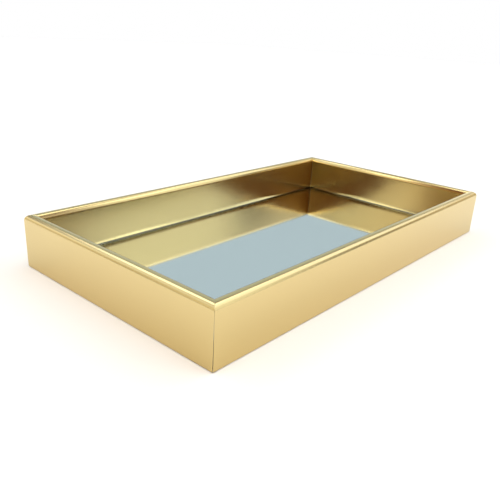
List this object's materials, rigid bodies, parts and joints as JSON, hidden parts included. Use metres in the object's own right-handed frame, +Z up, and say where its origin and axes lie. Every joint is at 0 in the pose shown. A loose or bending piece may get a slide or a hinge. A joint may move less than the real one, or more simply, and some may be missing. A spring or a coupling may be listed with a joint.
{
  "type": "dresser vanity tray",
  "caption": "Rectangular vanity tray with tall, mitred, half-round-topped gold walls around a mirrored floor, lined underneath with felt.",
  "frame": {"origin": "centre of the tray's footprint, at the underside of its base felt", "axes": "+X along the tray's length, +Y along its depth, +Z up out of the open well"},
  "size_m": [0.4, 0.222, 0.0458],
  "materials": {
    "gold_foil": "satin metallic gold foil, hot-stamped on a moulded polystyrene core",
    "silvered_glass": "polished clear float glass, silvered underneath",
    "hardboard": "raw pressed board",
    "black_felt": "matt needled felt",
    "zinc_plated_steel": "bright zinc plating"
  },
  "bodies": {
    "root": {"front_rail": "gold_foil", "right_rail": "gold_foil", "back_rail": "gold_foil", "left_rail": "gold_foil", "mirror_glass": "silvered_glass", "backing_board": "hardboard", "base_felt": "black_felt", "front_point_1": "zinc_plated_steel", "front_point_2": "zinc_plated_steel", "front_point_3": "zinc_plated_steel", "front_point_4": "zinc_plated_steel", "right_point_1": "zinc_plated_steel", "right_point_2": "zinc_plated_steel", "back_point_1": "zinc_plated_steel", "back_point_2": "zinc_plated_steel", "back_point_3": "zinc_plated_steel", "back_point_4": "zinc_plated_steel", "left_point_1": "zinc_plated_steel", "left_point_2": "zinc_plated_steel", "front_left_v_nail_1": "zinc_plated_steel", "front_left_v_nail_2": "zinc_plated_steel", "front_right_v_nail_1": "zinc_plated_steel", "front_right_v_nail_2": "zinc_plated_steel", "back_right_v_nail_1": "zinc_plated_steel", "back_right_v_nail_2": "zinc_plated_steel", "back_left_v_nail_1": "zinc_plated_steel", "back_left_v_nail_2": "zinc_plated_steel"}
  },
  "joints": []
}
